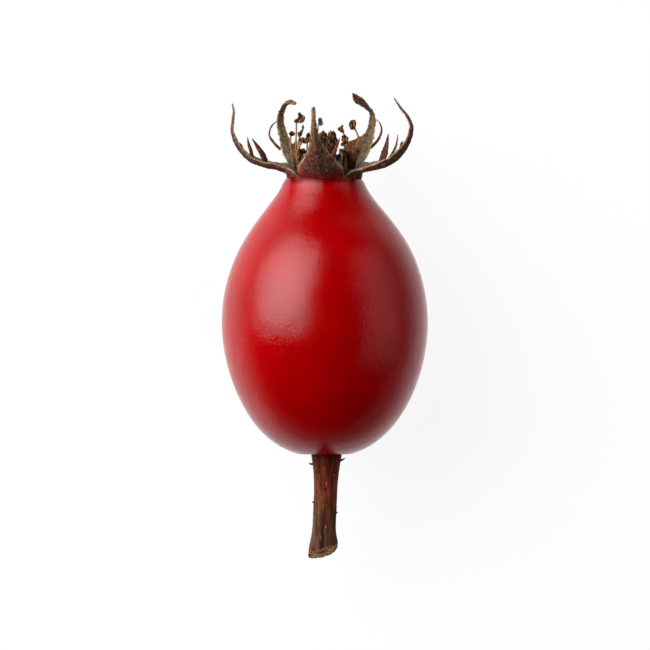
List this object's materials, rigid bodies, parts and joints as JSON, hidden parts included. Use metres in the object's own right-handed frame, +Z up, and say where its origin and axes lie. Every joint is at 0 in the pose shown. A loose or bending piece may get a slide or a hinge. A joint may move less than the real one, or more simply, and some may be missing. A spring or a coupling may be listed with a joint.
{
  "type": "rose hip sprig",
  "caption": "Ripe red rose hip lying on its side, with a dried crown of lobed sepals, withered stamens and styles, and a short cut stalk.",
  "frame": {"origin": "centre of the small flat under the fruit's widest part, on which it rests", "axes": "+Y along the fruit from its cut stalk to its dried crown, +Z up, +X to the right of the crown seen from above"},
  "size_m": [0.0164, 0.0369, 0.0162],
  "materials": {
    "hip_skin": "gloss",
    "stalk_bark": "matte",
    "sepal_dried": "matte",
    "stamens_brown": "matte",
    "styles_dark": "matte"
  },
  "bodies": {
    "root": {"hip": "hip_skin", "stalk": "stalk_bark", "sepal_front": "sepal_dried", "sepal_left": "sepal_dried", "sepal_right": "sepal_dried", "sepal_back_left": "sepal_dried", "sepal_back_right": "sepal_dried", "stamens": "stamens_brown", "styles": "styles_dark"}
  },
  "joints": []
}
